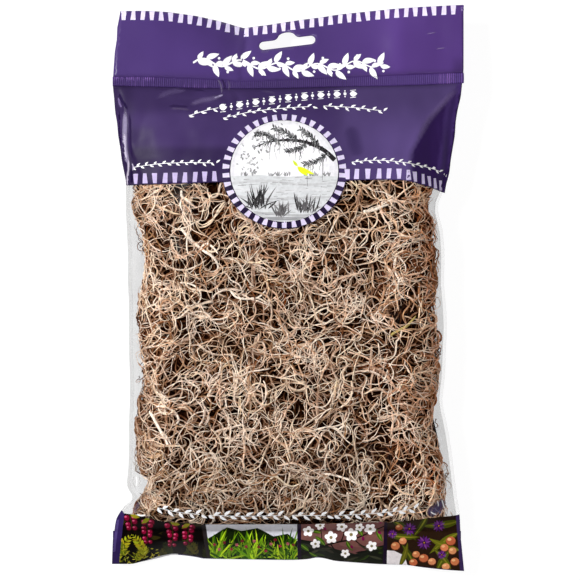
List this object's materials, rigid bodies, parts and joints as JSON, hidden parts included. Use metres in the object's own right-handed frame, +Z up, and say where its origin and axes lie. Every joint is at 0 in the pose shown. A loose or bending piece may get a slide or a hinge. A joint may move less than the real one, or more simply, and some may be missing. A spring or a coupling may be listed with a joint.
{
  "type": "bag of preserved spanish moss",
  "caption": "Clear film pillow bag filled with tangled dried Spanish moss, with a purple header, hang slot and printed bottom strip, lying on its back.",
  "frame": {"origin": "on the surface the bag lies on, under the middle of the bag's box", "axes": "+Y from the bottom skirt to the header with the hang slot, +Z up through the window side, +X to the right as seen from above"},
  "size_m": [0.1986, 0.318, 0.0509],
  "materials": {
    "clear_film": "clear glossy film",
    "purple_print": "satin printed film",
    "strip_print": "satin printed film",
    "moss": "dry, matte",
    "moss_pale": "dry, matte"
  },
  "bodies": {
    "root": {"front_film": "clear_film", "back_film": "clear_film", "left_side_weld": "clear_film", "right_side_weld": "clear_film", "top_crimp_seal": "purple_print", "header_tab": "purple_print", "bottom_crimp_seal": "strip_print", "bottom_skirt": "strip_print", "moss_lock_01": "moss", "moss_lock_02": "moss", "moss_lock_03": "moss", "moss_lock_04": "moss", "moss_lock_05": "moss", "moss_lock_06": "moss", "moss_lock_07": "moss", "moss_lock_08": "moss", "moss_lock_09": "moss", "moss_lock_10": "moss", "moss_lock_11": "moss", "moss_lock_12": "moss", "moss_lock_13": "moss", "moss_lock_14": "moss", "moss_lock_15": "moss", "strand_forked_pale": "moss_pale", "strand_top_left": "moss_pale", "strand_wavy_left": "moss_pale", "strand_short_arch": "moss_pale", "strand_lower_wave": "moss_pale", "strand_bow_right": "moss_pale", "strand_flat_pale": "moss_pale", "strand_loop_right": "moss_pale", "strand_arch_mid": "moss_pale", "strand_olive_band": "moss_pale", "strand_straight_pale": "moss_pale", "strand_coil_left": "moss_pale", "strand_ring": "moss_pale", "strand_star_stem": "moss_pale", "strand_mid_long": "moss_pale", "strand_s_curve": "moss_pale", "strand_long_arc": "moss_pale", "strand_right_curl": "moss_pale", "strand_upper_arc": "moss_pale"}
  },
  "joints": []
}
